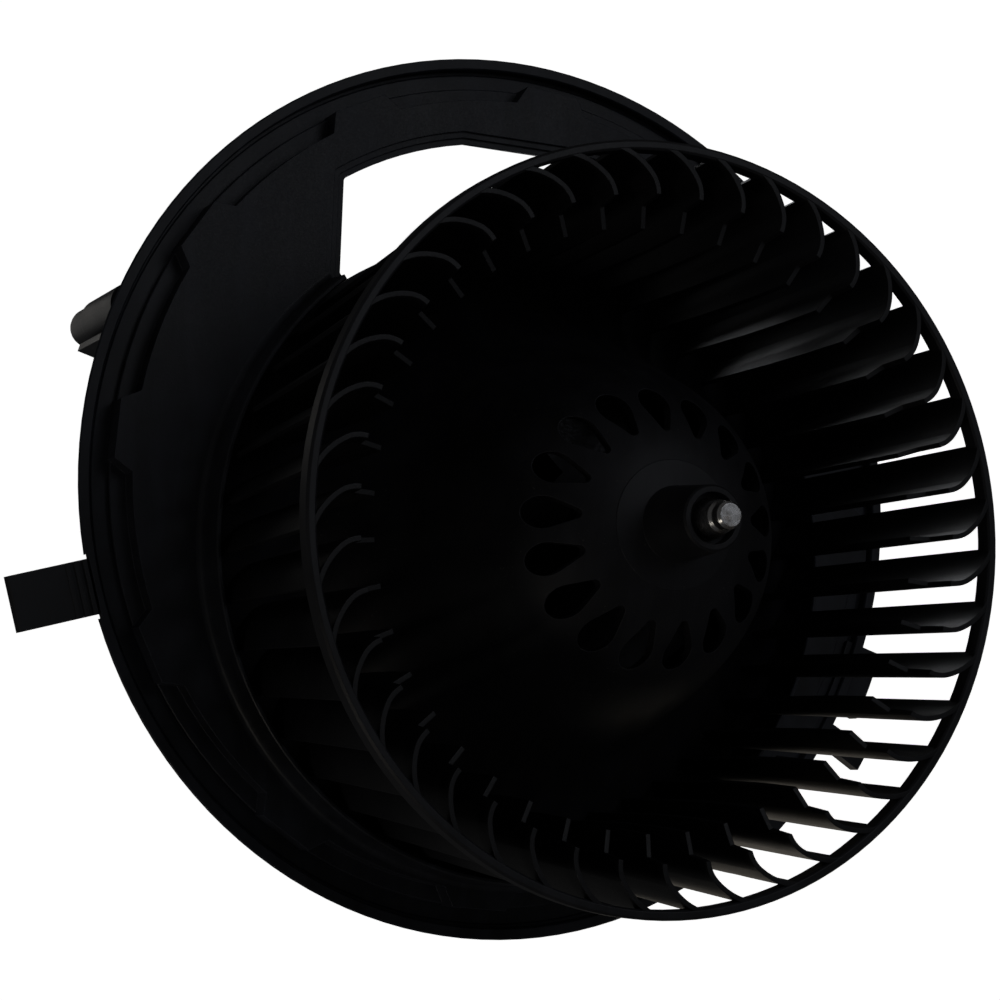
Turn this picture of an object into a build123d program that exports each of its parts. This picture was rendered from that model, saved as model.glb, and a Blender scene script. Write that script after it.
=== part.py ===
"""Cabin heater blower: forward-curved wheel on a brushed motor, carried by a round mounting flange.

Millimetres. The fan axis is Z, pointing out of the wheel's open inlet.
The origin is on the fan axis, in the plane of the flange rim's top land.
+Y points from the fan axis towards the flange's own centre and its regulator window.
"""
import os
from math import asin, cos, degrees, pi, radians, sin

from build123d import *

os.makedirs("parts", exist_ok=True)

# ---------------------------------------------------------------- wheel
WHEEL_FRONT_Z = 74.2          # front face of the inlet ring
WHEEL_BACK_Z = -2.3           # lowest face of the wheel
RING_OUTER_R = 75.0
RING_INNER_R = 73.0
RING_HEIGHT = 4.2
BLADE_COUNT = 43
BLADE_PITCH = 360.0 / BLADE_COUNT
BLADE_FIRST_ANGLE = 0.15      # inner end of the first blade's curve
BLADE_THICKNESS = 1.0
BLADE_CURVE_START_R = 64.6    # the blade is radial inside this radius
BLADE_BEND_R = 6.3            # first, tight arc of the blade's section
BLADE_BEND_SWEEP = 36.0
BLADE_TAIL_R = 13.3           # second, wider arc out to the tip
BLADE_TAIL_SWEEP = 39.0
BLADE_TIP_FRONT_R = 74.3      # the blades draw in towards the back, inside the collar
BLADE_TIP_LIP_R = 69.1
BLADE_INNER_R = 57.6
DISC_R = 69.0                 # rim of the wheel's back disc

BOSS_BASE_R = 7.5
BOSS_FACE_R = 6.3
BOSS_BASE_Z = 75.3
BOSS_FACE_Z = 89.6
BOSS_CAVITY_R = 4.95
VENT_COUNT = 17
VENT_PITCH = 360.0 / VENT_COUNT
VENT_FIRST_ANGLE = 5.5
VENT_TIP_R = 1.1              # radius of the pointed end, nearest the shaft
VENT_END_R = 3.15             # radius of the rounded end
VENT_TIP_POS = 19.6
VENT_END_POS = 24.5

# ---------------------------------------------------------------- flange
FLANGE_OFFSET_Y = 13.3        # flange centre from the fan axis
RIM_R = 96.3
RIM_INNER_R = 93.8
STRIP_Z = -2.4                # sunk seat strip between the rim and the teeth
TOOTH_OUTER_R = 90.0
POCKET_OUTER_R = 89.6
POCKET_INNER_R = 86.1
POCKET_Z = -0.8
FACE_Z = 4.0                  # flat face, raised above the rim
PLATE_THICKNESS = 2.2
FACE_BACK_Z = FACE_Z - PLATE_THICKNESS
TOOTH_COUNT = 12
TOOTH_FIRST_ANGLE = 84.3
TOOTH_TIP_ANGLE = 7.8
TOOTH_ROOT_ANGLE = 11.8
SKIRT_INNER_R = 87.4
SKIRT_OUTER_R = 89.4
SKIRT_BACK_Z = -10.0
RIM_BACK_Z = -4.4
COLLAR_INNER_R = 69.9
COLLAR_OUTER_R = 71.4
COLLAR_LIP_Z = 12.6
COLLAR_FOOT_R = 1.2           # concave foot between the collar and the face
FLOOR_Z = -5.3                # sunk floor inside the collar, behind the wheel
PLATE_BACK_Z = FLOOR_Z - PLATE_THICKNESS
PLATE_HOLE_R = 38.6

WINDOW_AXIS_ANGLE = 87.8
WINDOW_HALF_WIDTH = 45.2
WINDOW_OUTER_R = 79.3         # about the flange centre
WINDOW_CHORD_HALF = 11.3      # half angle of the straight stretch at the top
WINDOW_LOW_POS = 40.0         # lower edge, from the flange centre
WINDOW_STEP = 1.3             # width of each of the two ledges round the window
WINDOW_STEP_DEPTH = 0.65
WINDOW_CORNER_R = 1.0
AIRWAY_Y = 52.0               # the floor is open beyond this line, under the window

LATCH_ANGLE = 194.0
LATCH_WIDTH = 11.5
LATCH_ROOT_R = 88.6
LATCH_JOG_R = 95.7            # the arm steps up here, outside the rim's bridge
LATCH_TIP_R = 111.9
LATCH_CLEARANCE = 0.45
LATCH_NOTCH = 0.9             # see-through notch in the rim on both sides of the arm
LATCH_ROOT_BACK_Z = -6.8      # the arm behind the seat strip
LATCH_THICKNESS = 1.8
LATCH_TOP_Z = -0.8            # the arm outside the rim
LATCH_CATCH_Z = -10.0

# grip lugs outside the rim: direction, half angle and outer radius of each
LUGS = ((336.2, 4.6, 101.6), (327.6, 1.5, 107.8), (313.2, 1.6, 100.4))
LUG_THICKNESS = 3.2
RIB_COUNT = 12
RIB_FIRST_ANGLE = -6.0

PEG_ANGLE = 157.0
PEG_POS_R = 91.6
PEG_R = 4.3
PEG_BASE_R = 4.8
PEG_BASE_Z = -26.0            # the plain pin starts here
PEG_BACK_Z = -38.0

# ---------------------------------------------------------------- motor
SHAFT_R = 4.0
SHAFT_TIP_R = 2.4
SHAFT_TIP_Z = 95.9
SHAFT_CONE_Z = 88.4
SHAFT_BACK_Z = -27.0
CAN_R = 31.0
CAN_WALL = 1.5
CAN_FRONT_Z = 45.0
CAN_BACK_Z = -21.0
BEARING_R = 6.5
BEARING_BORE_R = 4.03
FRONT_BEARING_Z = 46.5
REAR_BEARING_Z = -24.5
MAGNET_OUTER_R = 29.45
MAGNET_INNER_R = 25.0
MAGNET_LOW_Z = -6.0
MAGNET_HIGH_Z = 36.0
CORE_R = 24.3
CORE_LOW_Z = 0.0
CORE_HIGH_Z = 30.0
SLOT_COUNT = 12
COMMUTATOR_R = 11.0
COMMUTATOR_LOW_Z = -17.5
COMMUTATOR_HIGH_Z = -7.5
SEGMENT_COUNT = 12
BRUSH_Z = -12.5
BRUSH_WIDTH = 6.0
BRUSH_HEIGHT = 6.4
BRUSH_INNER_R = 11.05
BRUSH_OUTER_R = 21.0
CARD_LOW_Z = -20.6
CARD_HIGH_Z = -18.4

CUP_INNER_R = 37.6
CUP_OUTER_R = 40.0
CUP_RING_R = 51.0
CUP_BACK_Z = -42.0
CUP_FLOOR = 2.4
RETAINER_INNER_R = 32.0
RETAINER_OUTER_R = 51.0
RETAINER_TOP_Z = -3.1
SCREW_CIRCLE_R = 46.0
SCREW_ANGLES = (30.0, 150.0, 270.0)
SCREW_R = 1.9
SCREW_HEAD_R = 3.8


# ---------------------------------------------------------------- helpers
def polar_xy(radius, angle):
    return (radius * cos(radians(angle)), radius * sin(radians(angle)))


def turned(points, arc=360.0):
    """Solid of revolution about Z from a closed (radius, height) outline."""
    outline = Polyline(*[(r, z) for r, z in points], close=True)
    face = Plane.XZ * make_face(outline)
    return revolve(face, axis=Axis.Z, revolution_arc=arc)


def tube(inner_r, outer_r, low_z, high_z):
    return turned([(inner_r, low_z), (outer_r, low_z), (outer_r, high_z), (inner_r, high_z)])


def disc(radius, low_z, high_z):
    return Pos(0, 0, (low_z + high_z) / 2) * Cylinder(radius, high_z - low_z)


def block(low, high):
    centre = [(a + b) / 2 for a, b in zip(low, high)]
    size = [b - a for a, b in zip(low, high)]
    return Pos(*centre) * Box(*size)


def spin(angle, shape):
    return Rot(0, 0, angle) * shape


def about_flange(shape):
    """Moves a shape drawn about the flange's own centre into place."""
    return Pos(0, FLANGE_OFFSET_Y, 0) * shape


def sector(inner_r, outer_r, half_angle, low_z, high_z):
    """Ring sector centred on +X."""
    ring = tube(inner_r, outer_r, low_z, high_z)
    reach = outer_r * 2
    corner = (reach * cos(radians(half_angle)), reach * sin(radians(half_angle)))
    wedge = make_face(Polyline((0, 0), corner, (reach, corner[1]), (reach, -corner[1]),
                               (corner[0], -corner[1]), close=True))
    prism = extrude(Pos(0, 0, low_z - 1) * wedge, high_z - low_z + 2)
    return ring & prism


def joined(shapes):
    result = shapes[0]
    for shape in shapes[1:]:
        result = result + shape
    return result


def without(shape, cutters):
    result = shape
    for cutter in cutters:
        result = result - cutter
    return result


def save(shape, node):
    export_step(shape, f"parts/{node}.step")


# ---------------------------------------------------------------- wheel
HUB_OUTER = [(7.0, 75.35), (13.0, 74.3), (18.5, 71.8), (23.0, 68.4), (27.3, 64.0), (31.5, 57.9),
             (35.2, 50.0), (38.6, 40.5), (42.3, 30.5), (47.0, 21.5), (53.0, 14.0), (60.5, 7.6),
             (DISC_R, 2.9)]
HUB_INNER = [(7.0, 73.2), (12.6, 72.2), (17.6, 70.0), (21.8, 66.8), (25.8, 62.5), (29.8, 56.7),
             (33.4, 49.1), (36.7, 39.7), (40.4, 29.5), (45.3, 20.1), (51.6, 12.2), (59.6, 5.5),
             (DISC_R, 0.6)]


def vent_cutter():
    """Teardrop through the dome, pointed towards the shaft."""
    spread = VENT_END_POS - VENT_TIP_POS
    lean = asin((VENT_END_R - VENT_TIP_R) / spread)
    tip_x = VENT_TIP_POS - VENT_TIP_R * sin(lean)
    tip_y = VENT_TIP_R * cos(lean)
    end_x = VENT_END_POS - VENT_END_R * sin(lean)
    end_y = VENT_END_R * cos(lean)
    edges = [
        Line((tip_x, tip_y), (end_x, end_y)),
        ThreePointArc((end_x, end_y), (VENT_END_POS + VENT_END_R, 0), (end_x, -end_y)),
        Line((end_x, -end_y), (tip_x, -tip_y)),
        ThreePointArc((tip_x, -tip_y), (VENT_TIP_POS - VENT_TIP_R, 0), (tip_x, tip_y)),
    ]
    outline = make_face(Wire(edges))
    return extrude(Pos(0, 0, 55) * outline, 25)


def wheel_hub():
    """Bell-shaped hub that widens into the wheel's back disc, with vents round its crown."""
    outer = Spline(*HUB_OUTER)
    inner = Spline(*HUB_INNER)
    top = Line(HUB_INNER[0], HUB_OUTER[0])
    rim = Line(HUB_OUTER[-1], HUB_INNER[-1])
    bell = revolve(Plane.XZ * make_face(Wire([outer, rim, inner, top])), axis=Axis.Z)
    boss = turned([
        (SHAFT_R, 60.0), (6.4, 60.0), (7.6, 72.5), (BOSS_BASE_R, BOSS_BASE_Z),
        (BOSS_FACE_R, BOSS_FACE_Z - 0.4), (BOSS_FACE_R - 0.4, BOSS_FACE_Z),
        (BOSS_CAVITY_R, BOSS_FACE_Z), (BOSS_CAVITY_R, BOSS_FACE_Z - 3.0),
        (SHAFT_R, BOSS_FACE_Z - 3.0),
    ])
    crown_step = turned([(7.0, 74.9), (12.6, 73.9), (12.6, 74.55), (7.0, 75.6)])
    edge = turned([(DISC_R - 1, WHEEL_BACK_Z), (DISC_R, WHEEL_BACK_Z), (DISC_R, 2.9), (DISC_R - 1, 3.3)])
    hub = joined([bell, boss, crown_step, edge])
    vents = [spin(VENT_FIRST_ANGLE + k * VENT_PITCH, vent_cutter()) for k in range(VENT_COUNT)]
    return without(hub, vents)


def blade_section():
    """Radial plate that bends through a tight arc, then runs out along a wider one."""
    half = BLADE_THICKNESS / 2
    bend_end = radians(BLADE_BEND_SWEEP)
    tail_end = radians(BLADE_BEND_SWEEP + BLADE_TAIL_SWEEP)
    tail_middle = (bend_end + tail_end) / 2
    step = BLADE_TAIL_R - BLADE_BEND_R
    tail_centre = (BLADE_CURVE_START_R - step * sin(bend_end), BLADE_BEND_R + step * cos(bend_end))

    def on_bend(offset, angle):
        radius = BLADE_BEND_R + offset
        return (BLADE_CURVE_START_R + radius * sin(angle), BLADE_BEND_R - radius * cos(angle))

    def on_tail(offset, angle):
        radius = BLADE_TAIL_R + offset
        return (tail_centre[0] + radius * sin(angle), tail_centre[1] - radius * cos(angle))

    foot = BLADE_INNER_R - 1
    edges = [
        Line((foot, -half), (BLADE_CURVE_START_R, -half)),
        ThreePointArc(on_bend(half, 0), on_bend(half, bend_end / 2), on_bend(half, bend_end)),
        ThreePointArc(on_tail(half, bend_end), on_tail(half, tail_middle), on_tail(half, tail_end)),
        Line(on_tail(half, tail_end), on_tail(-half, tail_end)),
        ThreePointArc(on_tail(-half, tail_end), on_tail(-half, tail_middle), on_tail(-half, bend_end)),
        ThreePointArc(on_bend(-half, bend_end), on_bend(-half, bend_end / 2), on_bend(-half, 0)),
        Line((BLADE_CURVE_START_R, half), (foot, half)),
        Line((foot, half), (foot, -half)),
    ]
    return make_face(Wire(edges))


def blade_plate():
    """Blade before its edges are trimmed: its section shrinks evenly towards the axis at the back."""
    top_z = WHEEL_FRONT_Z + 1
    low_z = WHEEL_BACK_Z
    lip_z = COLLAR_LIP_Z + 1.5
    shrink = (1 - BLADE_TIP_LIP_R / BLADE_TIP_FRONT_R) / (WHEEL_FRONT_Z - lip_z)

    def section_at(z):
        return Pos(0, 0, z) * scale(blade_section(), 1 - shrink * (WHEEL_FRONT_Z - z))

    return loft([section_at(low_z), section_at(top_z)], ruled=True)


def blade_envelope():
    """Turned shape that trims every blade: two-step inlet edge, ring seat, disc below."""
    ring_back = WHEEL_FRONT_Z - RING_HEIGHT
    edge_z = WHEEL_FRONT_Z - 0.1
    return turned([
        (BLADE_INNER_R, 9.3), (61.0, 6.7), (DISC_R, 2.3), (RING_OUTER_R, 2.3),
        (RING_OUTER_R, ring_back + 0.4), (73.4, ring_back + 0.4), (73.4, edge_z), (72.0, edge_z),
        (64.4, edge_z - 0.3), (63.3, 67.4), (58.9, 66.7), (58.1, 55.0), (BLADE_INNER_R, 40.0),
    ])


def wheel_blades():
    blade = blade_plate() & blade_envelope()
    return [spin(BLADE_FIRST_ANGLE + k * BLADE_PITCH, blade) for k in range(BLADE_COUNT)]


def wheel_front_ring():
    back = WHEEL_FRONT_Z - RING_HEIGHT
    return turned([
        (RING_INNER_R, back + 0.4), (RING_INNER_R + 0.3, back), (RING_OUTER_R - 0.35, back),
        (RING_OUTER_R, back + 0.5), (RING_OUTER_R, WHEEL_FRONT_Z - 0.5),
        (RING_OUTER_R - 0.5, WHEEL_FRONT_Z), (RING_INNER_R + 0.4, WHEEL_FRONT_Z),
        (RING_INNER_R, WHEEL_FRONT_Z - 0.4),
    ])


# ---------------------------------------------------------------- shaft and armature
def motor_shaft():
    return turned([
        (0, SHAFT_BACK_Z), (SHAFT_R - 0.5, SHAFT_BACK_Z), (SHAFT_R, SHAFT_BACK_Z + 0.5),
        (SHAFT_R, SHAFT_CONE_Z), (3.1, 92.6), (SHAFT_TIP_R + 0.25, 93.4),
        (SHAFT_TIP_R + 0.25, 95.3), (SHAFT_TIP_R - 0.2, SHAFT_TIP_Z), (0, SHAFT_TIP_Z),
    ])


def armature_core():
    """Laminated stack with straight slots for the windings."""
    core = tube(SHAFT_R, CORE_R, CORE_LOW_Z, CORE_HIGH_Z)
    slot = joined([
        block((12.0, -2.6, CORE_LOW_Z - 1), (21.4, 2.6, CORE_HIGH_Z + 1)),
        block((20.0, -0.9, CORE_LOW_Z - 1), (26.0, 0.9, CORE_HIGH_Z + 1)),
    ])
    return without(core, [spin(k * 360 / SLOT_COUNT, slot) for k in range(SLOT_COUNT)])


def armature_winding():
    """Copper in the slots and the two end turns."""
    bar = block((12.6, -2.3, CORE_LOW_Z - 0.5), (21.0, 2.3, CORE_HIGH_Z + 0.5))
    bars = [spin(k * 360 / SLOT_COUNT, bar) for k in range(SLOT_COUNT)]
    low = turned([(9.0, -5.6), (19.5, -5.6), (22.6, -3.2), (22.6, -0.4), (9.0, -0.4)])
    high = turned([(9.0, 30.4), (22.6, 30.4), (22.6, 33.8), (19.5, 36.0), (9.0, 36.0)])
    return joined([low, high] + bars)


def commutator_segment():
    half = 180.0 / SEGMENT_COUNT - 1.6
    bar = sector(7.0, COMMUTATOR_R, half, COMMUTATOR_LOW_Z, COMMUTATOR_HIGH_Z)
    riser = sector(COMMUTATOR_R - 0.2, 12.6, 2.6, COMMUTATOR_HIGH_Z - 1.6, COMMUTATOR_HIGH_Z)
    return bar + riser


def commutator_bars():
    return [spin(k * 360 / SEGMENT_COUNT, commutator_segment()) for k in range(SEGMENT_COUNT)]


def commutator_core():
    return tube(SHAFT_R, 7.0, COMMUTATOR_LOW_Z + 0.2, COMMUTATOR_HIGH_Z - 0.2)


def thrust_washers():
    low = tube(SHAFT_R, 6.2, -19.3, -18.5)
    high = tube(SHAFT_R, 6.2, 41.2, 42.0)
    return [low, high]


# ---------------------------------------------------------------- motor body
def motor_can():
    """Deep-drawn steel can, open at the back, with a bearing dome at the front."""
    shell = turned([
        (CAN_R - CAN_WALL, CAN_BACK_Z), (CAN_R, CAN_BACK_Z), (CAN_R, CAN_FRONT_Z - 3.0),
        (CAN_R - 3.0, CAN_FRONT_Z), (9.2, CAN_FRONT_Z), (7.8, CAN_FRONT_Z + 6.0),
        (5.2, CAN_FRONT_Z + 6.0), (5.2, CAN_FRONT_Z + 4.6), (6.15, CAN_FRONT_Z + 4.6),
        (7.55, CAN_FRONT_Z - CAN_WALL), (CAN_R - 3.6, CAN_FRONT_Z - CAN_WALL),
        (CAN_R - CAN_WALL, CAN_FRONT_Z - 3.6),
    ])
    slot = Pos(19.5, 0, CAN_FRONT_Z) * Box(8.0, 5.0, 8.0)
    return without(shell, [spin(45 + 90 * k, slot) for k in range(4)])


def bearing(middle_z):
    """Self-aligning sintered bush: a sphere cut flat at both ends and bored."""
    ball = Pos(0, 0, middle_z) * Sphere(BEARING_R)
    keep = disc(BEARING_R + 1, middle_z - 3.0, middle_z + 3.0)
    return (ball & keep) - disc(BEARING_BORE_R, middle_z - 5, middle_z + 5)


def front_bearing_retainer():
    low = CAN_FRONT_Z - CAN_WALL - 0.7
    return turned([(5.9, low - 0.2), (6.3, low - 0.2), (10.6, low), (10.6, low + 0.7), (8.7, low + 0.7)])


def field_magnets():
    arc = sector(MAGNET_INNER_R, MAGNET_OUTER_R, 66.0, MAGNET_LOW_Z, MAGNET_HIGH_Z)
    return [arc, spin(180, arc)]


def magnet_clips():
    """Sprung wedges that hold the two magnets apart against the can."""
    leaf = sector(28.0, MAGNET_OUTER_R, 19.0, MAGNET_LOW_Z + 4, MAGNET_HIGH_Z - 4)
    hollow = sector(28.4, 28.9, 16.0, MAGNET_LOW_Z, MAGNET_HIGH_Z)
    end = sector(26.0, 28.2, 1.0, MAGNET_LOW_Z + 4, MAGNET_HIGH_Z - 4)
    clip = (leaf - hollow) + spin(18, end) + spin(-18, end)
    return [spin(90, clip), spin(270, clip)]


def brush_card():
    """Moulded end plate that carries the brush gear and the rear bearing."""
    plate = tube(7.4, CAN_R - CAN_WALL - 0.1, CARD_LOW_Z, CARD_HIGH_Z)
    flange = turned([
        (24.0, CARD_LOW_Z - 2.4), (CAN_R + 1.2, CARD_LOW_Z - 2.4), (CAN_R + 1.2, CAN_BACK_Z - 0.1),
        (24.0, CAN_BACK_Z - 0.1),
    ])
    pocket = turned([
        (4.6, -29.6), (9.0, -29.6), (9.0, CARD_LOW_Z), (10.4, CARD_LOW_Z), (10.4, CARD_HIGH_Z),
        (7.4, CARD_HIGH_Z), (6.8, -23.0), (6.8, -27.6), (4.6, -27.6),
    ])
    link = [spin(45 + 90 * k, block((8.6, -2, CARD_LOW_Z - 2.2), (25, 2, CARD_LOW_Z + 0.2)))
            for k in range(4)]
    terminal_slot = [block((16.0, y - 3.4, CARD_LOW_Z - 4), (17.2, y + 3.4, CARD_HIGH_Z + 1))
                     for y in (-9.0, 9.0)]
    return without(joined([plate, flange, pocket] + link), terminal_slot)


def rear_bearing_retainer():
    return turned([(6.0, -21.2), (6.5, -21.2), (6.95, -20.4), (6.95, -19.7), (6.0, -20.5)])


def brush_holder():
    """Folded brass channel, open towards the commutator."""
    wall = 0.6
    low = (13.0, -BRUSH_WIDTH / 2 - wall - 0.05, CARD_HIGH_Z)
    high = (28.4, BRUSH_WIDTH / 2 + wall + 0.05, BRUSH_Z + BRUSH_HEIGHT / 2 + wall + 0.05)
    outer = block(low, high)
    inner = block(
        (12.0, -BRUSH_WIDTH / 2 - 0.05, BRUSH_Z - BRUSH_HEIGHT / 2 - 0.05),
        (27.6, BRUSH_WIDTH / 2 + 0.05, BRUSH_Z + BRUSH_HEIGHT / 2 + 0.05),
    )
    under = block(
        (12.0, -BRUSH_WIDTH / 2 - 0.05, CARD_HIGH_Z - 1),
        (29.0, BRUSH_WIDTH / 2 + 0.05, BRUSH_Z - BRUSH_HEIGHT / 2 - 0.65),
    )
    return without(outer, [inner, under])


def brush():
    bar = block(
        (8.0, -BRUSH_WIDTH / 2, BRUSH_Z - BRUSH_HEIGHT / 2),
        (BRUSH_OUTER_R, BRUSH_WIDTH / 2, BRUSH_Z + BRUSH_HEIGHT / 2),
    )
    return bar - disc(BRUSH_INNER_R, BRUSH_Z - 6, BRUSH_Z + 6)


def brush_spring():
    """Close spiral of wire between the brush's back and the holder's end."""
    pitch = 1.25
    turns = 4.8
    path = Helix(pitch, pitch * turns, 1.9)
    start = path @ 0
    profile = Plane(origin=start, z_dir=path % 0) * Circle(0.24)
    wire = sweep(profile, path=path)
    return Pos(BRUSH_OUTER_R + 0.27, 0, BRUSH_Z) * (Rot(0, 90, 0) * wire)


def choke_cores():
    cores = []
    for angle in (55.0, 235.0):
        x, y = polar_xy(22.5, angle)
        cores.append(Pos(x, y, CARD_HIGH_Z + 4.8) * Cylinder(1.8, 9.4))
    return cores


def choke_windings():
    coils = []
    for angle in (55.0, 235.0):
        x, y = polar_xy(22.5, angle)
        coils.append(Pos(x, y, 0) * tube(1.8, 2.7, CARD_HIGH_Z + 1.0, CARD_HIGH_Z + 8.4))
    return coils


def terminal_blades():
    """Flat brass blades from the brush gear down into the connector."""
    blades = []
    for y in (-9.0, 9.0):
        blades.append(block((16.2, y - 3.15, -50.0), (17.0, y + 3.15, CARD_HIGH_Z + 0.6)))
    return blades


# ---------------------------------------------------------------- motor mounting
def isolator_ring():
    """Rubber ring with lobes that floats the can inside the cup."""
    ring = tube(CAN_R, CAN_R + 2.0, -19.0, -7.0)
    foot = tube(CAN_R - 4.5, CUP_INNER_R, -26.4, -23.1)
    lobe = sector(CAN_R + 1.8, CUP_INNER_R, 7.0, -18.0, -8.0)
    wall = tube(CAN_R + 1.25, CAN_R + 3.0, -24.0, -18.8)
    return joined([ring, foot, wall] + [spin(k * 60, lobe) for k in range(6)])


def motor_cup():
    """Moulded cup behind the flange that takes the motor; its floor has cooling slots."""
    floor_top = CUP_BACK_Z + CUP_FLOOR
    shell = turned([
        (0, CUP_BACK_Z), (CUP_OUTER_R - 3.0, CUP_BACK_Z), (CUP_OUTER_R, CUP_BACK_Z + 3.0),
        (CUP_OUTER_R, PLATE_BACK_Z - 3.0), (CUP_RING_R, PLATE_BACK_Z - 3.0),
        (CUP_RING_R, PLATE_BACK_Z), (CUP_INNER_R, PLATE_BACK_Z), (CUP_INNER_R, floor_top + 1.5),
        (CUP_INNER_R - 1.5, floor_top), (0, floor_top),
    ])
    shelf = [spin(20 + 60 * k, block((CUP_INNER_R - 4.6, -1.5, floor_top - 0.2),
                                     (CUP_INNER_R + 0.4, 1.5, -26.4))) for k in range(6)]
    ribs = [spin(15 + 30 * k, block((CUP_OUTER_R - 0.3, -0.9, -32.0),
                                    (CUP_RING_R - 4.0, 0.9, PLATE_BACK_Z - 2.9)))
            for k in range(12)]
    boss = [spin(a, Pos(SCREW_CIRCLE_R, 0, -14.5) * Cylinder(4.0, 9.0)) for a in SCREW_ANGLES]
    body = joined([shell] + shelf + ribs + boss)
    holes = [spin(a, Pos(SCREW_CIRCLE_R, 0, -13.0) * Cylinder(SCREW_R, 11.2))
             for a in SCREW_ANGLES]
    slots = [spin(40 + 36 * k, block((20.0, -1.3, CUP_BACK_Z - 1), (31.0, 1.3, floor_top + 1)))
             for k in range(6)]
    terminal_way = block((14.4, -13.4, CUP_BACK_Z - 1), (18.8, 13.4, floor_top + 1))
    return without(body, holes + slots + [terminal_way])


def motor_retainer():
    """Clamp ring on the plate that stops the motor and its rubber ring coming forward."""
    ring = turned([
        (CUP_INNER_R - 2.4, FLOOR_Z), (RETAINER_OUTER_R, FLOOR_Z),
        (RETAINER_OUTER_R, RETAINER_TOP_Z + 0.4), (RETAINER_OUTER_R - 0.4, RETAINER_TOP_Z),
        (RETAINER_INNER_R + 0.4, RETAINER_TOP_Z), (RETAINER_INNER_R, RETAINER_TOP_Z - 0.5),
        (RETAINER_INNER_R, -6.9), (CUP_INNER_R - 2.4, -6.9),
    ])
    holes = [spin(a, Pos(SCREW_CIRCLE_R, 0, -4) * Cylinder(SCREW_R + 0.1, 8)) for a in SCREW_ANGLES]
    return without(ring, holes)


def retainer_screws():
    screws = []
    for angle in SCREW_ANGLES:
        head = Pos(SCREW_CIRCLE_R, 0, RETAINER_TOP_Z + 1.2) * Cylinder(SCREW_HEAD_R, 2.4)
        shank = Pos(SCREW_CIRCLE_R, 0, -9.55) * Cylinder(SCREW_R - 0.02, 17.3)
        drive = Pos(SCREW_CIRCLE_R, 0, RETAINER_TOP_Z + 2.0) * extrude(RegularPolygon(1.7, 6), 2)
        screws.append(spin(angle, head + shank - drive))
    return screws


def connector_housing():
    """Two-way plug shroud on the cup's floor."""
    low = CUP_BACK_Z - 13.0
    outer = block((9.6, -16.0, low), (23.6, 16.0, CUP_BACK_Z))
    outer = fillet(outer.edges().filter_by(Axis.Z), 2.2)
    inner = block((11.4, -14.2, low - 1), (21.8, 14.2, CUP_BACK_Z - 2.0))
    inner = fillet(inner.edges().filter_by(Axis.Z), 1.2)
    latch = block((23.0, -4.0, low + 2.0), (25.6, 4.0, low + 5.0))
    slots = [block((16.1, y - 3.25, CUP_BACK_Z - 3), (17.1, y + 3.25, CUP_BACK_Z + 1))
             for y in (-9.0, 9.0)]
    return without(outer + latch, [inner] + slots)


# ---------------------------------------------------------------- flange
def tooth():
    """Trapezoidal tooth: wide at its root on the face, narrow at its outer end."""
    root_r = POCKET_INNER_R - 0.6
    root = polar_xy(root_r, TOOTH_ROOT_ANGLE / 2)
    tip = polar_xy(TOOTH_OUTER_R, TOOTH_TIP_ANGLE / 2)
    outline = make_face(Polyline((root[0], root[1]), (tip[0], tip[1]), (tip[0], -tip[1]),
                                 (root[0], -root[1]), close=True))
    return extrude(Pos(0, 0, STRIP_Z - 1) * outline, FACE_Z - STRIP_Z + 1)


def window_outline(inset):
    """Outline of the regulator window about the flange centre, shrunk all round by inset."""
    outer_r = WINDOW_OUTER_R - inset
    half = WINDOW_HALF_WIDTH - inset
    corner_angle = degrees(asin(half / outer_r))
    chord = WINDOW_CHORD_HALF

    def point(radius, angle):
        return polar_xy(radius, WINDOW_AXIS_ANGLE + angle)

    def low_point(side):
        base = polar_xy(WINDOW_LOW_POS + inset, WINDOW_AXIS_ANGLE)
        across = polar_xy(half * side, WINDOW_AXIS_ANGLE + 90)
        return (base[0] + across[0], base[1] + across[1])

    middle = (corner_angle + chord) / 2
    edges = [
        Line(low_point(1), point(outer_r, corner_angle)),
        ThreePointArc(point(outer_r, corner_angle), point(outer_r, middle), point(outer_r, chord)),
        Line(point(outer_r, chord), point(outer_r, -chord)),
        ThreePointArc(point(outer_r, -chord), point(outer_r, -middle), point(outer_r, -corner_angle)),
        Line(point(outer_r, -corner_angle), low_point(-1)),
        Line(low_point(-1), low_point(1)),
    ]
    outline = make_face(Wire(edges))
    return fillet(outline.vertices(), WINDOW_CORNER_R)


def window_prism(inset, low_z, high_z):
    return about_flange(extrude(Pos(0, 0, low_z) * window_outline(inset), high_z - low_z))


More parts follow.
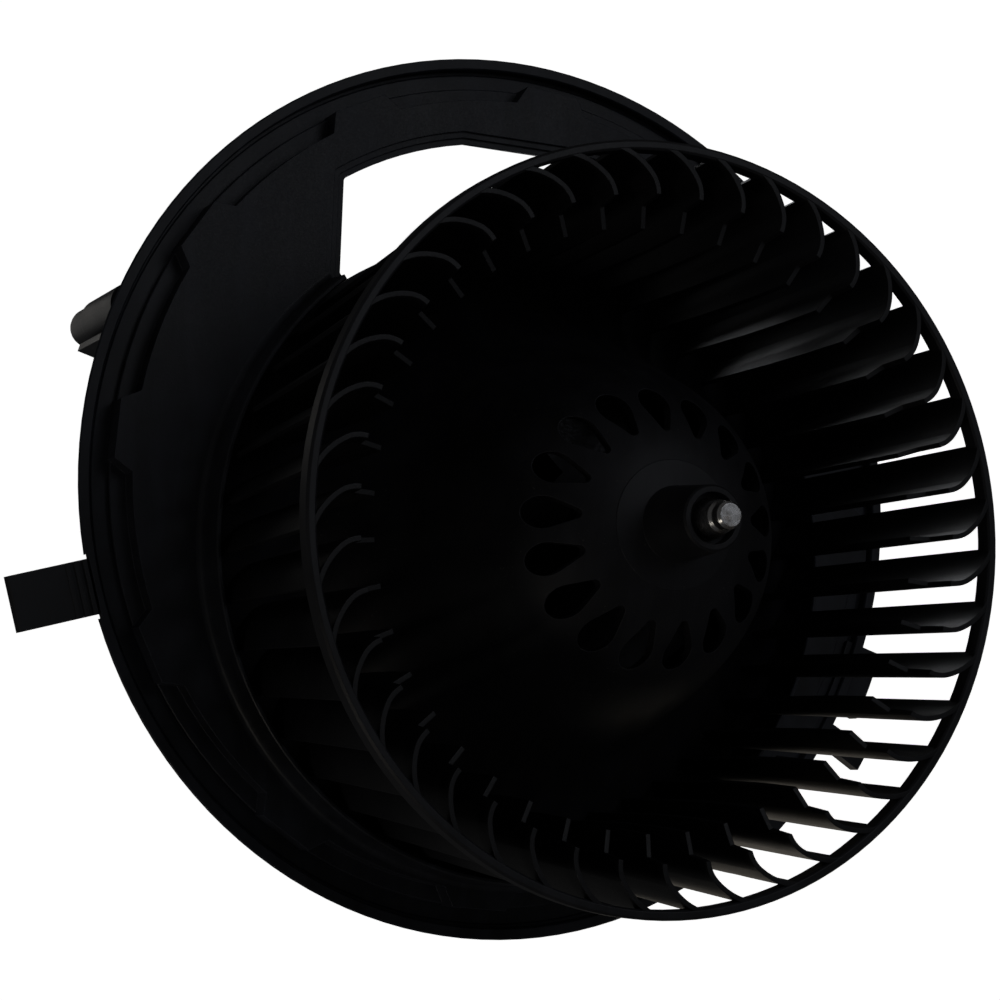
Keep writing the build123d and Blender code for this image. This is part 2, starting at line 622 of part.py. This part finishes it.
def collar():
    """Round wall the wheel's back turns in, from the sunk floor up to a thin rounded lip."""
    lip_out = COLLAR_OUTER_R - 0.45
    wall = turned([
        (COLLAR_INNER_R, PLATE_BACK_Z), (COLLAR_OUTER_R, PLATE_BACK_Z), (COLLAR_OUTER_R, FACE_Z),
        (lip_out, COLLAR_LIP_Z - 0.3), (lip_out - 0.25, COLLAR_LIP_Z),
        (COLLAR_INNER_R + 0.25, COLLAR_LIP_Z), (COLLAR_INNER_R, COLLAR_LIP_Z - 0.3),
    ])
    foot_out = COLLAR_OUTER_R + COLLAR_FOOT_R
    foot_up = FACE_Z + COLLAR_FOOT_R
    middle = COLLAR_FOOT_R * (1 - cos(pi / 4))
    edges = [
        Line((COLLAR_OUTER_R - 0.6, FACE_Z - 0.5), (foot_out, FACE_Z - 0.5)),
        Line((foot_out, FACE_Z - 0.5), (foot_out, FACE_Z)),
        ThreePointArc((foot_out, FACE_Z), (COLLAR_OUTER_R + middle, FACE_Z + middle),
                      (COLLAR_OUTER_R - 0.05, foot_up)),
        Line((COLLAR_OUTER_R - 0.05, foot_up), (COLLAR_OUTER_R - 0.6, foot_up)),
        Line((COLLAR_OUTER_R - 0.6, foot_up), (COLLAR_OUTER_R - 0.6, FACE_Z - 0.5)),
    ]
    foot = revolve(Plane.XZ * make_face(Wire(edges)), axis=Axis.Z)
    return wall + foot


def flange_ring():
    """Rim, sunk strip, pocket ring, skirt and raised face, all about the flange's own centre."""
    ring = turned([
        (60.0, FACE_BACK_Z), (POCKET_INNER_R - 1.8, FACE_BACK_Z),
        (POCKET_INNER_R - 1.8, POCKET_Z - 2.0), (SKIRT_INNER_R, POCKET_Z - 2.0),
        (SKIRT_INNER_R, SKIRT_BACK_Z), (SKIRT_OUTER_R, SKIRT_BACK_Z), (SKIRT_OUTER_R, RIM_BACK_Z),
        (RIM_R - 2.2, RIM_BACK_Z), (RIM_R - 0.4, -0.8), (RIM_R, -0.35), (RIM_R - 0.3, 0),
        (RIM_INNER_R + 0.3, 0), (RIM_INNER_R, -0.3), (RIM_INNER_R, STRIP_Z - 0.25),
        (RIM_INNER_R - 0.6, STRIP_Z - 0.25), (RIM_INNER_R - 0.9, STRIP_Z),
        (POCKET_OUTER_R, STRIP_Z), (POCKET_OUTER_R, POCKET_Z - 0.2),
        (POCKET_OUTER_R - 0.2, POCKET_Z), (POCKET_INNER_R, POCKET_Z),
        (POCKET_INNER_R, FACE_Z), (60.0, FACE_Z),
    ])
    teeth = [spin(TOOTH_FIRST_ANGLE + k * 360 / TOOTH_COUNT, tooth()) for k in range(TOOTH_COUNT)]
    return joined([ring] + teeth)


def sunk_floor():
    """Floor inside the collar that carries the motor, open under the window."""
    floor = disc(COLLAR_INNER_R + 0.5, PLATE_BACK_Z, FLOOR_Z)
    airway = block((-80, AIRWAY_Y, PLATE_BACK_Z - 1), (80, 80, FLOOR_Z + 1))
    return floor - (airway & disc(COLLAR_INNER_R, PLATE_BACK_Z - 1, FLOOR_Z + 1))


def grip_lugs():
    """Rounded lugs outside the rim on the lower right, used to turn the unit in its housing."""
    lugs = []
    for angle, half, reach in LUGS:
        lug = sector(RIM_R - 4.0, reach, half, RIM_BACK_Z, RIM_BACK_Z + LUG_THICKNESS)
        lugs.append(spin(angle, lug))
    return lugs


def locating_peg():
    """Plain round pin on a thicker base, stiffened by a fin and a cross web."""
    x, y = polar_xy(PEG_POS_R, PEG_ANGLE)
    top_z = RIM_BACK_Z + 1.0
    pin = Pos(x, y, (PEG_BACK_Z + top_z) / 2) * Cylinder(PEG_R, top_z - PEG_BACK_Z)
    pin = fillet(pin.edges().sort_by(Axis.Z)[0], 2.4)
    base = Pos(x, y, (PEG_BASE_Z + top_z) / 2) * Cylinder(PEG_BASE_R, top_z - PEG_BASE_Z)
    fin = spin(PEG_ANGLE + 4.6, block((PEG_POS_R - 4, -0.8, PEG_BASE_Z), (PEG_POS_R + 2.6, 0.8, -4)))
    web = spin(PEG_ANGLE + 2.2, block((PEG_POS_R - 3.4, -4.0, PEG_BASE_Z + 2),
                                      (PEG_POS_R - 1.8, 4.0, -4)))
    return joined([pin, base, fin, web])


def rear_ribs():
    """Stiffening ribs behind the face, left out behind the window."""
    ribs = []
    for k in range(RIB_COUNT):
        angle = RIB_FIRST_ANGLE + k * 360 / RIB_COUNT
        if 40 < angle < 135:
            continue
        rib = block((COLLAR_OUTER_R - 0.5, -0.8, -5.5), (105.0, 0.8, FACE_BACK_Z + 0.3))
        ribs.append(spin(angle, rib))
    inside = about_flange(disc(POCKET_INNER_R - 1.2, -20, 10))
    return [rib & inside for rib in ribs]


def latch_gap():
    """Way for the latch arm: a slot behind the seat strip and an open notch in the rim."""
    half = LATCH_WIDTH / 2
    behind = block((LATCH_ROOT_R - 0.5, -half - LATCH_CLEARANCE, -20),
                   (RIM_R + 5, half + LATCH_CLEARANCE, RIM_BACK_Z))
    notch = block((LATCH_JOG_R - 0.5, -half - LATCH_NOTCH, -20), (RIM_R + 5, half + LATCH_NOTCH, 5))
    return spin(LATCH_ANGLE, behind + notch)


def mounting_flange():
    drawn_about_centre = joined([flange_ring(), locating_peg()] + grip_lugs())
    body = about_flange(drawn_about_centre - latch_gap())
    body = body - disc(COLLAR_INNER_R + 0.5, FACE_BACK_Z - 1, FACE_Z + 1)
    body = joined([body, collar(), sunk_floor()] + rear_ribs())
    through = window_prism(2 * WINDOW_STEP, -20, 30)
    ledges = [window_prism(k * WINDOW_STEP, FACE_Z - (k + 1) * WINDOW_STEP_DEPTH, 30) for k in (0, 1)]
    hole = disc(PLATE_HOLE_R, -20, 0)
    screw_holes = [spin(a, Pos(SCREW_CIRCLE_R, 0, -6) * Cylinder(SCREW_R + 0.1, 8))
                   for a in SCREW_ANGLES]
    return without(body, [through] + ledges + [hole] + screw_holes)


def latch_tab():
    """Sprung tongue: runs behind the seat strip, steps up in the rim's notch and reaches out."""
    half = LATCH_WIDTH / 2
    jog_end_r = LATCH_JOG_R + LATCH_THICKNESS
    root_top_z = LATCH_ROOT_BACK_Z + LATCH_THICKNESS
    arm_back_z = LATCH_TOP_Z - 2.0
    root = block((LATCH_ROOT_R, -half, LATCH_ROOT_BACK_Z), (jog_end_r, half, root_top_z))
    jog = block((LATCH_JOG_R, -half, LATCH_ROOT_BACK_Z), (jog_end_r, half, LATCH_TOP_Z))
    arm = block((LATCH_JOG_R, -half, arm_back_z), (LATCH_TIP_R, half, LATCH_TOP_Z))
    ridges = [block((start, -half, LATCH_TOP_Z - 0.4), (start + 0.9, half, LATCH_TOP_Z + rise))
              for start, rise in ((LATCH_JOG_R, 0.7), (97.5, 0.5), (99.3, 0.35))]
    bead = Pos(LATCH_TIP_R - 0.9, 0, arm_back_z - 0.2) * (Rot(90, 0, 0) * Cylinder(1.3, LATCH_WIDTH))
    catch = block((LATCH_ROOT_R + 2.6, -half + 1.2, LATCH_CATCH_Z),
                  (LATCH_ROOT_R + 4.4, half - 1.2, LATCH_ROOT_BACK_Z + 0.1))
    return about_flange(spin(LATCH_ANGLE, joined([root, jog, arm, bead, catch] + ridges)))


# ---------------------------------------------------------------- export
save(mounting_flange(), "mounting_flange")
save(latch_tab(), "latch_tab")
save(motor_cup(), "motor_cup")
save(motor_retainer(), "motor_retainer")
save(Compound(retainer_screws()), "retainer_screws")
save(isolator_ring(), "isolator_ring")
save(motor_can(), "motor_can")
save(bearing(FRONT_BEARING_Z), "front_bearing")
save(front_bearing_retainer(), "front_bearing_retainer")
save(Compound(field_magnets()), "field_magnets")
save(Compound(magnet_clips()), "magnet_clips")
save(brush_card(), "brush_card")
save(bearing(REAR_BEARING_Z), "rear_bearing")
save(rear_bearing_retainer(), "rear_bearing_retainer")
save(Compound([brush_holder(), spin(180, brush_holder())]), "brush_holders")
save(brush(), "brush_a")
save(spin(180, brush()), "brush_b")
save(brush_spring(), "brush_spring_a")
save(spin(180, brush_spring()), "brush_spring_b")
save(Compound(choke_cores()), "choke_cores")
save(Compound(choke_windings()), "choke_windings")
save(Compound(terminal_blades()), "terminal_blades")
save(connector_housing(), "connector_housing")
save(wheel_hub(), "wheel_hub")
save(Compound(wheel_blades()), "wheel_blades")
save(wheel_front_ring(), "wheel_front_ring")
save(motor_shaft(), "motor_shaft")
save(armature_core(), "armature_core")
save(armature_winding(), "armature_winding")
save(Compound(commutator_bars()), "commutator_bars")
save(commutator_core(), "commutator_core")
save(Compound(thrust_washers()), "thrust_washers")
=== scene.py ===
"""Cabin heater blower: looks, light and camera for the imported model.

Blender 4.5, metres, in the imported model's own frame: +Z is the fan axis, out of the wheel's inlet.
"""
from math import pi

import bpy
from mathutils import Matrix, Vector


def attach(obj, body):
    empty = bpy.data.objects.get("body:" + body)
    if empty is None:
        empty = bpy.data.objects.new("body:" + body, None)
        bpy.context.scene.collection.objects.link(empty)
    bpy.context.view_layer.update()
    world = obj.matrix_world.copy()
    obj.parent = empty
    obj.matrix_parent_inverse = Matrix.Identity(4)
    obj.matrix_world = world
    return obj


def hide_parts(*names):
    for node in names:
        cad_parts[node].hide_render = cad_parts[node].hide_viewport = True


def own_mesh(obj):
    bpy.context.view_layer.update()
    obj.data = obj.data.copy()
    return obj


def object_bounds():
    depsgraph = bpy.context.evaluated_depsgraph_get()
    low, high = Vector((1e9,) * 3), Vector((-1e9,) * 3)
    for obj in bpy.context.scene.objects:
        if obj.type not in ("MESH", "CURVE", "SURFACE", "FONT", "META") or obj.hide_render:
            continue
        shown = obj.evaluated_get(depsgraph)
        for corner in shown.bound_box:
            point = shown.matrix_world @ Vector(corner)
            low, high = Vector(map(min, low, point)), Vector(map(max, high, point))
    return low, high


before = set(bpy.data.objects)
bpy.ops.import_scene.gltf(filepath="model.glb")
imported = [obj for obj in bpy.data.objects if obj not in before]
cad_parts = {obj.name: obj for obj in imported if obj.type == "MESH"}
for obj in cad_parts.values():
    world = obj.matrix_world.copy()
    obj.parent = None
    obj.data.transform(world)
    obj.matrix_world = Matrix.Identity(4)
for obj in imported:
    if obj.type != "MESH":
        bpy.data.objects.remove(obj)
cad_low, cad_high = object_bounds()

MM = 0.001

# ---------------------------------------------------------------- camera and studio
CAMERA_POS = Vector((-0.2369, -0.0459, 0.5037))
CAMERA_AIM = Vector((-0.0208, 0.0071, 0.0400))
CAMERA_UP = Vector((0, 1, 0))
LENS_MM = 92.41
SENSOR_MM = 36.0
CLIP_NEAR = 0.01
CLIP_FAR = 20.0
STUDIO_SIZE = 6.0
FLOOR_GAP = 0.0005
WORLD_STRENGTH = 0.025


# ---------------------------------------------------------------- material helpers
NOISE_ROUGHNESS = 0.55
EDGE_LOW = 0.02
EDGE_HIGH = 0.30


class Shader:
    """A node material with its principled shader and a few shorthand builders."""

    def __init__(self, name, colour, roughness, metallic=0.0):
        self.material = bpy.data.materials.new(name)
        self.material.use_nodes = True
        self.nodes = self.material.node_tree.nodes
        self.links = self.material.node_tree.links
        self.bsdf = self.nodes["Principled BSDF"]
        self.bsdf.inputs["Base Color"].default_value = (*colour, 1.0)
        self.bsdf.inputs["Roughness"].default_value = roughness
        self.bsdf.inputs["Metallic"].default_value = metallic
        self.coords = self.nodes.new("ShaderNodeTexCoord").outputs["Object"]
        self.bump = None

    def mapped(self, scale):
        """Object coordinates in millimetres, stretched per axis."""
        node = self.nodes.new("ShaderNodeMapping")
        node.inputs["Scale"].default_value = [s / MM for s in scale]
        self.links.new(self.coords, node.inputs["Vector"])
        return node.outputs["Vector"]

    def noise(self, size_mm, detail=3.0, stretch=(1, 1, 1), distortion=0.0):
        node = self.nodes.new("ShaderNodeTexNoise")
        node.inputs["Scale"].default_value = 1.0 / size_mm
        node.inputs["Detail"].default_value = detail
        node.inputs["Roughness"].default_value = NOISE_ROUGHNESS
        node.inputs["Distortion"].default_value = distortion
        self.links.new(self.mapped(stretch), node.inputs["Vector"])
        return node.outputs["Fac"]

    def ramp(self, value, low, high, out_low=0.0, out_high=1.0):
        node = self.nodes.new("ShaderNodeMapRange")
        node.inputs["From Min"].default_value = low
        node.inputs["From Max"].default_value = high
        node.inputs["To Min"].default_value = out_low
        node.inputs["To Max"].default_value = out_high
        self.links.new(value, node.inputs["Value"])
        return node.outputs["Result"]

    def math(self, operation, first, second):
        node = self.nodes.new("ShaderNodeMath")
        node.operation = operation
        for socket, value in zip(node.inputs, (first, second)):
            if isinstance(value, (int, float)):
                socket.default_value = value
            else:
                self.links.new(value, socket)
        return node.outputs["Value"]

    def mix(self, factor, first, second):
        """Colour mix; first and second are colours or sockets."""
        node = self.nodes.new("ShaderNodeMix")
        node.data_type = "RGBA"
        self.links.new(factor, node.inputs["Factor"])
        for socket, value in ((node.inputs[6], first), (node.inputs[7], second)):
            if isinstance(value, tuple):
                socket.default_value = (*value, 1.0)
            else:
                self.links.new(value, socket)
        return node.outputs[2]

    def edges(self, radius_mm):
        """0 on flat faces, 1 on edges tighter than the given radius."""
        bevel = self.nodes.new("ShaderNodeBevel")
        bevel.samples = 4
        bevel.inputs["Radius"].default_value = radius_mm * MM
        geometry = self.nodes.new("ShaderNodeNewGeometry")
        dot = self.nodes.new("ShaderNodeVectorMath")
        dot.operation = "DOT_PRODUCT"
        self.links.new(bevel.outputs["Normal"], dot.inputs[0])
        self.links.new(geometry.outputs["Normal"], dot.inputs[1])
        return self.ramp(self.math("SUBTRACT", 1.0, dot.outputs["Value"]), EDGE_LOW, EDGE_HIGH)

    def add_bump(self, height, strength, distance_mm):
        node = self.nodes.new("ShaderNodeBump")
        node.inputs["Strength"].default_value = strength
        node.inputs["Distance"].default_value = distance_mm * MM
        self.links.new(height, node.inputs["Height"])
        if self.bump is not None:
            self.links.new(self.bump.outputs["Normal"], node.inputs["Normal"])
        self.links.new(node.outputs["Normal"], self.bsdf.inputs["Normal"])
        self.bump = node

    def round_edges(self, radius_mm):
        """Soft moulded edges, by shading; called before the bumps."""
        bevel = self.nodes.new("ShaderNodeBevel")
        bevel.samples = 6
        bevel.inputs["Radius"].default_value = radius_mm * MM
        self.links.new(bevel.outputs["Normal"], self.bsdf.inputs["Normal"])
        self.bump = bevel

    def colour(self, socket):
        self.links.new(socket, self.bsdf.inputs["Base Color"])

    def rough(self, socket):
        self.links.new(socket, self.bsdf.inputs["Roughness"])


CLOUD_MM = 22.0
STREAK_MM = 5.0
STREAK_STRETCH = (1.0, 0.16, 0.3)
SCUFFED_EDGE_MM = 0.35
SCUFF_GAIN = 3.0
DUST_COLOUR = (0.16, 0.15, 0.13)
METAL_CLOUD_MM = 7.0
STAIN_SHARE = 0.35
DULL_CLOUD_MM = 6.0
DULL_GRAIN_DEPTH = 0.03


def moulded_plastic(name, base, bloom, rough, grain_mm, grain_depth, dust=0.0):
    """Black moulded polymer: cloudy bloom, fine grain, flow streaks, scuffed edges and any dust."""
    shader = Shader(name, base, rough[0])
    cloud = shader.noise(CLOUD_MM, detail=4.0)
    fine = shader.noise(grain_mm, detail=2.0)
    streak = shader.noise(STREAK_MM, stretch=STREAK_STRETCH, distortion=0.6)
    clouds = shader.ramp(cloud, 0.35, 0.7, 0.0, 0.55)
    streaks = shader.ramp(streak, 0.4, 0.75, 0, 0.3)
    grain = shader.ramp(fine, 0.45, 0.8, 0.0, 0.15)
    tone = shader.math("ADD", shader.math("ADD", clouds, streaks), grain)
    colour = shader.mix(tone, base, bloom)
    worn = shader.math("MULTIPLY", shader.edges(SCUFFED_EDGE_MM), shader.ramp(fine, 0.35, 0.65, 0.2, 0.5))
    colour = shader.mix(worn, colour, tuple(SCUFF_GAIN * part for part in bloom))
    if dust:
        specks = shader.ramp(shader.noise(0.55, detail=1.0), 0.70, 0.76, 0.0, dust)
        patches = shader.ramp(shader.noise(9.0, detail=2.0), 0.45, 0.65)
        colour = shader.mix(shader.math("MULTIPLY", specks, patches), colour, DUST_COLOUR)
    shader.colour(colour)
    shader.rough(shader.ramp(shader.math("ADD", cloud, fine), 0.7, 1.3, *rough))
    shader.round_edges(0.25)
    shader.add_bump(fine, 0.5, grain_depth)
    shader.add_bump(streak, 0.25, grain_depth * 1.5)
    return shader.material


def metal(name, colour, stain, roughness, grain_mm, stretch=(1, 1, 1), depth=0.02):
    """Bare or plated metal: directional grain, cloudy roughness and darker stains."""
    shader = Shader(name, colour, roughness, metallic=1.0)
    grain = shader.noise(grain_mm, stretch=stretch)
    cloud = shader.noise(METAL_CLOUD_MM)
    shader.colour(shader.mix(shader.ramp(cloud, 0.42, 0.72, 0.0, STAIN_SHARE), colour, stain))
    grain_part = shader.ramp(grain, 0.3, 0.7, 0.75, 1.3)
    cloud_part = shader.ramp(cloud, 0.3, 0.7, 0.85, 1.25)
    rough = shader.math("MULTIPLY", grain_part, cloud_part)
    shader.rough(shader.math("MULTIPLY", rough, roughness))
    shader.round_edges(0.12)
    shader.add_bump(grain, 0.35, depth)
    return shader.material


def dull(name, colour, light, roughness, grain_mm):
    """Rubber, resin, ferrite, carbon and the like: granular tone, roughness and bump."""
    shader = Shader(name, colour, roughness)
    grain = shader.noise(grain_mm, detail=4.0)
    cloud = shader.noise(DULL_CLOUD_MM)
    grain_part = shader.ramp(grain, 0.4, 0.75, 0.0, 0.6)
    cloud_part = shader.ramp(cloud, 0.4, 0.7, 0.0, 0.4)
    shader.colour(shader.mix(shader.math("ADD", grain_part, cloud_part), colour, light))
    shader.rough(shader.ramp(grain, 0.3, 0.7, roughness * 0.85, min(1.0, roughness * 1.2)))
    shader.round_edges(0.15)
    shader.add_bump(grain, 0.4, DULL_GRAIN_DEPTH)
    return shader.material


def shaft_steel():
    """Ground shaft: fine turning rings and patches of brown oil film."""
    bright = (0.95, 0.94, 0.93)
    shader = Shader("shaft_steel", bright, 0.2, metallic=1.0)
    rings = shader.noise(0.25, detail=2.0, stretch=(0.2, 0.2, 3.0))
    film = shader.ramp(shader.noise(2.2), 0.48, 0.62, 0.0, 0.6)
    shader.colour(shader.mix(film, bright, (0.34, 0.25, 0.17)))
    shader.rough(shader.ramp(rings, 0.3, 0.7, 0.14, 0.32))
    shader.round_edges(0.2)
    shader.add_bump(rings, 0.3, 0.02)
    return shader.material


def wound_copper():
    """Enamelled copper wire: close turns shown by a fine stretched grain."""
    shader = Shader("copper_wire", (0.55, 0.20, 0.08), 0.3, metallic=1.0)
    turns = shader.noise(0.5, detail=1.0, stretch=(1.0, 1.0, 0.2))
    shader.colour(shader.mix(shader.ramp(turns, 0.35, 0.65), (0.30, 0.10, 0.04), (0.66, 0.27, 0.11)))
    shader.rough(shader.ramp(turns, 0.3, 0.7, 0.22, 0.42))
    shader.add_bump(turns, 0.6, 0.12)
    return shader.material


def assign(node, material):
    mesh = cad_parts[node].data
    mesh.materials.clear()
    mesh.materials.append(material)


# name, black base, greyer bloom, roughness range, grain size in mm, grain depth in mm, dust
FLANGE = moulded_plastic(
    "flange_plastic", (0.0040, 0.0043, 0.0055), (0.060, 0.065, 0.086), (0.38, 0.55), 0.35, 0.03)
# painted light: the latch tab's base and bloom are made far lighter than the flange's black plastic, standing
# in for light the lamps don't give it
TONGUE_PAINTED_LIGHT = moulded_plastic(
    "tongue_plastic_painted_light", (0.030, 0.031, 0.036), (0.054, 0.055, 0.063), (0.40, 0.55), 0.35, 0.03)
BLADE = moulded_plastic(
    "blade_plastic", (0.0045, 0.0046, 0.0054), (0.022, 0.022, 0.026), (0.36, 0.50), 0.30, 0.02)
RING = moulded_plastic(
    "ring_plastic", (0.0090, 0.0093, 0.0108), (0.055, 0.056, 0.066), (0.36, 0.50), 0.30, 0.02)
HUB = moulded_plastic(
    "hub_plastic", (0.0070, 0.0070, 0.0084), (0.042, 0.042, 0.050), (0.42, 0.56), 0.30, 0.02, 0.7)
CUP = moulded_plastic(
    "cup_plastic", (0.006, 0.006, 0.007), (0.014, 0.014, 0.016), (0.45, 0.60), 0.40, 0.03)
PLUG = moulded_plastic(
    "connector_plastic", (0.012, 0.012, 0.013), (0.024, 0.024, 0.026), (0.35, 0.50), 0.25, 0.02)

# name, colour, stain colour, roughness, grain size in mm, grain stretch, grain depth in mm
ZINC = metal("zinc_steel", (0.36, 0.37, 0.38), (0.17, 0.17, 0.16), 0.36, 0.7)
CAN = metal("can_steel", (0.045, 0.045, 0.047), (0.020, 0.019, 0.018), 0.42, 0.6, (1, 1, 0.15))
SPRING = metal("spring_steel", (0.34, 0.34, 0.35), (0.20, 0.19, 0.18), 0.26, 0.3, (1, 0.2, 1))
LAMINATION = metal("lamination_steel", (0.22, 0.23, 0.25), (0.10, 0.08, 0.07), 0.40, 0.5, (0.1, 0.1, 4), 0.08)
BRONZE = metal("sintered_bronze", (0.42, 0.28, 0.13), (0.20, 0.13, 0.07), 0.45, 0.25)
BRASS = metal("brass_strip", (0.68, 0.48, 0.20), (0.42, 0.28, 0.12), 0.28, 0.4, (1, 0.15, 1))

# name, colour, lighter grains, roughness, grain size in mm
RUBBER = dull("isolator_rubber", (0.010, 0.010, 0.010), (0.025, 0.025, 0.025), 0.80, 0.5)
CARD = dull("card_plastic", (0.070, 0.042, 0.022), (0.13, 0.085, 0.05), 0.55, 0.8)
WASHER = dull("washer_plastic", (0.50, 0.46, 0.38), (0.62, 0.58, 0.50), 0.45, 0.6)
FERRITE = dull("ferrite", (0.035, 0.035, 0.038), (0.07, 0.07, 0.075), 0.55, 0.3)
CARBON = dull("carbon", (0.020, 0.020, 0.021), (0.045, 0.045, 0.047), 0.50, 0.2)
COPPER = wound_copper()
SHAFT = shaft_steel()

PAINT = {
    FLANGE: ["mounting_flange"],
    TONGUE_PAINTED_LIGHT: ["latch_tab"],
    BLADE: ["wheel_blades"],
    RING: ["wheel_front_ring"],
    HUB: ["wheel_hub"],
    CUP: ["motor_cup", "motor_retainer"],
    PLUG: ["connector_housing"],
    ZINC: ["retainer_screws", "front_bearing_retainer", "rear_bearing_retainer"],
    CAN: ["motor_can"],
    SPRING: ["magnet_clips", "brush_spring_a", "brush_spring_b"],
    LAMINATION: ["armature_core"],
    BRONZE: ["front_bearing", "rear_bearing"],
    BRASS: ["brush_holders", "terminal_blades"],
    RUBBER: ["isolator_ring"],
    CARD: ["brush_card", "commutator_core"],
    WASHER: ["thrust_washers"],
    FERRITE: ["field_magnets", "choke_cores"],
    CARBON: ["brush_a", "brush_b"],
    COPPER: ["armature_winding", "choke_windings", "commutator_bars"],
    SHAFT: ["motor_shaft"],
}
for material, painted in PAINT.items():
    for node in painted:
        assign(node, material)


def shortening_spring(node):
    """Copy of a rigid brush spring with its own mesh, attached to the housing body; the rigid spring is
    hidden.
    """
    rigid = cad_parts[node]
    coil = bpy.data.objects.new(node + "_coil", rigid.data.copy())
    bpy.context.collection.objects.link(coil)
    coil.matrix_world = rigid.matrix_world.copy()
    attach(coil, "housing")
    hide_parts(node)
    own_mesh(coil)


shortening_spring("brush_spring_a")
shortening_spring("brush_spring_b")


# ---------------------------------------------------------------- studio, light and camera
def add_studio():
    """Pale floor just under the part, and pale walls; the part isn't lit by them."""
    floor_z = cad_low.z - FLOOR_GAP
    bpy.ops.mesh.primitive_plane_add(size=STUDIO_SIZE, location=(0, 0, floor_z))
    floor = bpy.context.object
    floor.name = "floor"
    bpy.ops.mesh.primitive_cube_add(size=STUDIO_SIZE, location=(0, 0, floor_z - FLOOR_GAP + STUDIO_SIZE / 2))
    walls = bpy.context.object
    walls.name = "walls"
    shader = Shader("pale_studio", (0.9, 0.9, 0.9), 0.6)
    shader.bsdf.inputs["Emission Color"].default_value = (1, 1, 1, 1)
    shader.bsdf.inputs["Emission Strength"].default_value = 1.0
    for surface in (floor, walls):
        surface.data.materials.append(shader.material)
        surface.visible_diffuse = False
        surface.visible_glossy = False
        surface.visible_shadow = False


def add_light(name, direction, distance, aim, size, radiance, colour):
    """Square softbox with the given brightness, at a distance along a direction from its aim."""
    data = bpy.data.lights.new(name, "AREA")
    data.shape = "SQUARE"
    data.size = size
    data.energy = radiance * pi * size * size
    data.color = colour
    lamp = bpy.data.objects.new(name, data)
    bpy.context.collection.objects.link(lamp)
    aim = Vector(aim)
    lamp.location = aim + Vector(direction).normalized() * distance
    lamp.rotation_mode = "QUATERNION"
    lamp.rotation_quaternion = (aim - lamp.location).to_track_quat("-Z", "Y")
    lamp.visible_camera = False


def add_camera():
    data = bpy.data.cameras.new("camera")
    data.lens = LENS_MM
    data.sensor_width = SENSOR_MM
    data.clip_start = CLIP_NEAR
    data.clip_end = CLIP_FAR
    camera = bpy.data.objects.new("camera", data)
    bpy.context.collection.objects.link(camera)
    back = (CAMERA_POS - CAMERA_AIM).normalized()
    right = CAMERA_UP.cross(back).normalized()
    up = back.cross(right)
    turn = Matrix((right, up, back)).transposed()
    camera.matrix_world = Matrix.Translation(CAMERA_POS) @ turn.to_4x4()
    bpy.context.scene.camera = camera


def add_world():
    world = bpy.data.worlds.new("world")
    bpy.context.scene.world = world
    world.use_nodes = True
    background = world.node_tree.nodes["Background"]
    background.inputs["Color"].default_value = (1.0, 1.0, 1.0, 1.0)
    background.inputs["Strength"].default_value = WORLD_STRENGTH


add_studio()
add_world()
add_light("overhead", (0.36, 0.42, 1.0), 1.2, (0, 0, 0.03), 0.62, 0.44, (0.87, 0.91, 1.0))
add_light("low_left", (-0.74, -0.64, 0.16), 0.9, (0, 0, 0.07), 0.22, 1.5, (1.0, 0.93, 0.82))
# cards lying near the floor: two shine up between the right hand blades, one on the peg
add_light("card_right", (0, 0, -1), 0.20, (0.084, -0.112, 0.145), 0.072, 0.31, (1.0, 0.90, 0.76))
add_light("card_upper", (0, 0, -1), 0.20, (0.086, 0.105, 0.140), 0.110, 1.2, (0.94, 0.96, 1.0))
add_light("card_left", (-0.5, 0.2, -1), 0.06, (-0.090, 0.049, -0.030), 0.05, 0.34, (1.0, 0.97, 0.92))
add_camera()
bpy.context.scene.view_settings.view_transform = "Standard"
